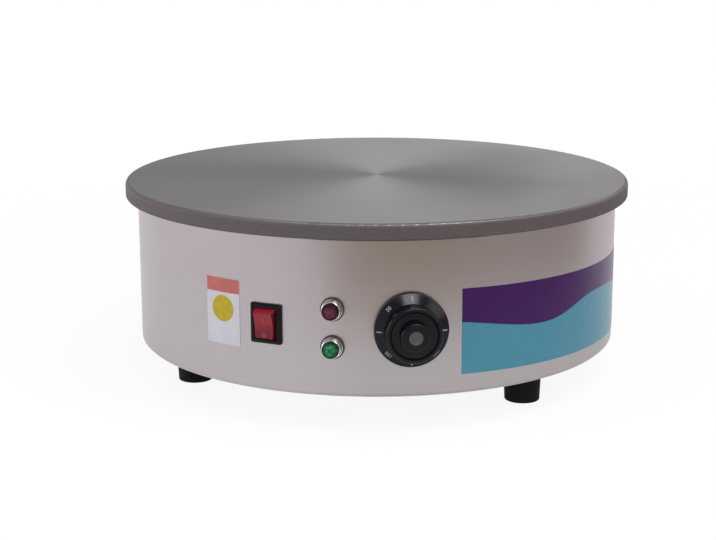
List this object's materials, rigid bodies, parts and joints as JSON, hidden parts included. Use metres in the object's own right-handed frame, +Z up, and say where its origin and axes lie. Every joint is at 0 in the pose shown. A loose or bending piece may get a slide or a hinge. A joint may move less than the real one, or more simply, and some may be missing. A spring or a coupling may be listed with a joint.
{
  "type": "electric crepe maker",
  "caption": "Round countertop crepe maker: thick cast griddle plate on a low stainless drum with rubber feet, rocker switch, pilot lamps and thermostat knob.",
  "frame": {"origin": "on the table, under the middle of the round plate", "axes": "+Z up; -Y is the front, in the middle of the group of controls; +X is to the user's right"},
  "size_m": [0.3999, 0.4093, 0.155],
  "materials": {
    "cast_plate": "satin, seasoned",
    "drum_steel": "brushed round the drum",
    "base_steel": "mill finish sheet",
    "plated_steel": "zinc plated",
    "pan_steel": "aluminised sheet",
    "foot_rubber": "matt",
    "knob_black": "satin moulded",
    "knob_silver": "satin disc",
    "switch_black": "moulded",
    "switch_red": "translucent moulded",
    "lamp_chrome": "polished",
    "lamp_red": "translucent lens, unlit",
    "lamp_green": "translucent lens, unlit",
    "lamp_housing": "moulded",
    "heater_sheath": "annealed, dark",
    "ceramic": "unglazed",
    "insulation": "pressed fibre",
    "brass": "plain",
    "thermostat_case": "pressed case",
    "capillary_copper": "drawn copper",
    "gland_nylon": "moulded",
    "gland_rubber": "matt",
    "block_white": "moulded",
    "wire_brown": "silicone sleeve",
    "wire_white": "silicone sleeve",
    "wire_earth": "silicone sleeve",
    "stripe_purple": "printed film",
    "stripe_teal": "printed film",
    "sticker_white": "printed label"
  },
  "bodies": {
    "body": {"griddle_plate": "cast_plate", "outer_element": "heater_sheath", "inner_element": "heater_sheath", "element_insulators": "ceramic", "element_links": "brass", "clamp_plate": "pan_steel", "clamp_studs": "plated_steel", "clamp_nuts": "plated_steel", "insulation_pad": "insulation", "heat_shield_pan": "pan_steel", "centre_stud": "plated_steel", "centre_nuts": "plated_steel", "centre_washers": "plated_steel", "tie_bar": "plated_steel", "drum_shell": "drum_steel", "base_plate": "base_steel", "base_screws": "plated_steel", "foot_front_left": "foot_rubber", "foot_front_right": "foot_rubber", "foot_rear": "foot_rubber", "foot_screws": "plated_steel", "foot_washers": "plated_steel", "foot_nuts": "plated_steel", "switch_housing": "switch_black", "switch_tabs": "brass", "red_lamp_bezel": "lamp_chrome", "red_lamp_lens": "lamp_red", "red_lamp_body": "lamp_housing", "green_lamp_bezel": "lamp_chrome", "green_lamp_lens": "lamp_green", "green_lamp_body": "lamp_housing", "lamp_seals": "gland_rubber", "lamp_nuts": "plated_steel", "thermostat_body": "thermostat_case", "thermostat_screws": "plated_steel", "bulb_and_capillary": "capillary_copper", "terminal_block": "block_white", "clamp_screws": "plated_steel", "earth_screw": "plated_steel", "earth_nut": "plated_steel", "gland_body": "gland_nylon", "gland_nut": "gland_nylon", "gland_seal": "gland_rubber", "gland_locknut": "gland_nylon", "feed_wires": "wire_brown", "switched_wire": "wire_brown", "element_feed_wire": "wire_brown", "element_return_wire": "wire_white", "earth_wire": "wire_earth", "lamp_leads": "wire_white", "stripe_upper": "stripe_purple", "stripe_lower": "stripe_teal", "label_sticker": "sticker_white"},
    "knob": {"knob_skirt": "knob_black", "knob_grip": "knob_black", "knob_cap": "knob_silver", "knob_screw": "plated_steel", "thermostat_shaft": "plated_steel"},
    "rocker": {"rocker_cap": "switch_red"},
    "contact": {"contact_blade": "brass"}
  },
  "joints": [
    {"name": "knob_turn", "type": "hinge", "parent": "body", "child": "knob", "pos_m": [0.06811, -0.17791, 0.0775], "axis": [-0.3576, 0.9339, 0], "range_deg": [0, 270]},
    {"name": "rocker_tilt", "type": "hinge", "parent": "body", "child": "rocker", "pos_m": [-0.03496, -0.18681, 0.0778], "axis": [-0.9829, 0.184, 0], "range_deg": [0, 16]},
    {"name": "contact_tilt", "type": "hinge", "parent": "body", "child": "contact", "pos_m": [-0.03277, -0.17511, 0.0778], "axis": [0.9829, -0.184, 0], "range_deg": [0, 12]}
  ],
  "couplings": [
    {"joint": "contact_tilt", "follows": "rocker_tilt", "ratio": 0.75}
  ]
}
